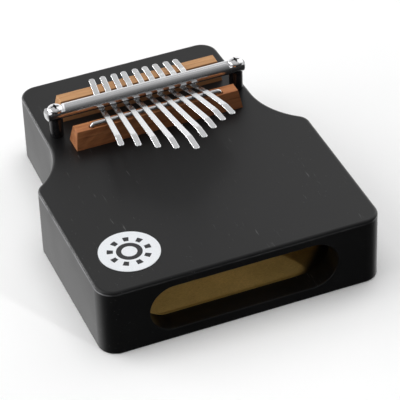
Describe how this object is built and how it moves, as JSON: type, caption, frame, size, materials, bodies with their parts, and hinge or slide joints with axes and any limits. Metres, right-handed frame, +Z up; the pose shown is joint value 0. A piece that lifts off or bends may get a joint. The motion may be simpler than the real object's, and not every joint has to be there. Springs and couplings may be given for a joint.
{
  "type": "box mbira",
  "caption": "Black wooden resonator box with an obround sound slot in its front, carrying steel tines held over two wooden bridges by a screwed-down nickel pressure bar.",
  "frame": {"origin": "centre of the bottom face's bounding box, on the surface the box lies on", "axes": "+X to the player's right along the pressure bar, +Y from the sound slot towards the rear end, +Z up"},
  "size_m": [0.1502, 0.18, 0.0607],
  "materials": {
    "black_lacquer": "satin black lacquer on wood",
    "bridge_wood": "oiled reddish hardwood",
    "rod_steel": "polished steel rod",
    "bar_nickel": "satin nickel",
    "post_black": "smooth black spacer",
    "insert_brass": "machined",
    "badge_film": "printed film sticker",
    "screw_chrome": "bright plated",
    "tine_steel": "rolled spring steel, satin"
  },
  "bodies": {
    "box": {"side_frame": "black_lacquer", "soundboard": "black_lacquer", "back_plate": "black_lacquer", "front_bridge": "bridge_wood", "rear_bridge": "bridge_wood", "saddle_rod": "rod_steel", "pressure_bar": "bar_nickel", "post_left": "post_black", "post_right": "post_black", "threaded_insert_left": "insert_brass", "threaded_insert_right": "insert_brass", "badge": "badge_film"},
    "tine_1": {"tine_1": "tine_steel"},
    "tine_2": {"tine_2": "tine_steel"},
    "tine_3": {"tine_3": "tine_steel"},
    "tine_4": {"tine_4": "tine_steel"},
    "tine_5": {"tine_5": "tine_steel"},
    "tine_6": {"tine_6": "tine_steel"},
    "tine_7": {"tine_7": "tine_steel"},
    "tine_8": {"tine_8": "tine_steel"},
    "tine_9": {"tine_9": "tine_steel"},
    "clamp_screw_left": {"clamp_screw_left": "screw_chrome"},
    "clamp_screw_right": {"clamp_screw_right": "screw_chrome"}
  },
  "joints": [
    {"name": "tine_1_pluck", "type": "hinge", "parent": "box", "child": "tine_1", "pos_m": [-0.02618, 0.0293, 0.051], "axis": [1, 0, 0], "range_deg": [-0.6, 1], "stiffness_Nm_per_rad": 1},
    {"name": "tine_2_pluck", "type": "hinge", "parent": "box", "child": "tine_2", "pos_m": [-0.01901, 0.0293, 0.051], "axis": [1, 0, 0], "range_deg": [-0.6, 1], "stiffness_Nm_per_rad": 1},
    {"name": "tine_3_pluck", "type": "hinge", "parent": "box", "child": "tine_3", "pos_m": [-0.01189, 0.0293, 0.051], "axis": [1, 0, 0], "range_deg": [-0.6, 1], "stiffness_Nm_per_rad": 1},
    {"name": "tine_4_pluck", "type": "hinge", "parent": "box", "child": "tine_4", "pos_m": [-0.00537, 0.0293, 0.051], "axis": [1, 0, 0], "range_deg": [-0.6, 1], "stiffness_Nm_per_rad": 1},
    {"name": "tine_5_pluck", "type": "hinge", "parent": "box", "child": "tine_5", "pos_m": [0.002, 0.0293, 0.051], "axis": [1, 0, 0], "range_deg": [-0.6, 1], "stiffness_Nm_per_rad": 1},
    {"name": "tine_6_pluck", "type": "hinge", "parent": "box", "child": "tine_6", "pos_m": [0.00857, 0.0293, 0.051], "axis": [1, 0, 0], "range_deg": [-0.6, 1], "stiffness_Nm_per_rad": 1},
    {"name": "tine_7_pluck", "type": "hinge", "parent": "box", "child": "tine_7", "pos_m": [0.01539, 0.0293, 0.051], "axis": [1, 0, 0], "range_deg": [-0.6, 1], "stiffness_Nm_per_rad": 1},
    {"name": "tine_8_pluck", "type": "hinge", "parent": "box", "child": "tine_8", "pos_m": [0.02236, 0.0293, 0.051], "axis": [1, 0, 0], "range_deg": [-0.6, 1], "stiffness_Nm_per_rad": 1},
    {"name": "tine_9_pluck", "type": "hinge", "parent": "box", "child": "tine_9", "pos_m": [0.02868, 0.0293, 0.051], "axis": [1, 0, 0], "range_deg": [-0.6, 1], "stiffness_Nm_per_rad": 1},
    {"name": "clamp_screw_left_turn", "type": "hinge", "parent": "box", "child": "clamp_screw_left", "pos_m": [-0.0497, 0.0432, 0.0544], "axis": [0, 0, 1], "range_deg": [0, 180]},
    {"name": "clamp_screw_right_turn", "type": "hinge", "parent": "box", "child": "clamp_screw_right", "pos_m": [0.0517, 0.0432, 0.0544], "axis": [0, 0, 1], "range_deg": [0, 180]}
  ]
}
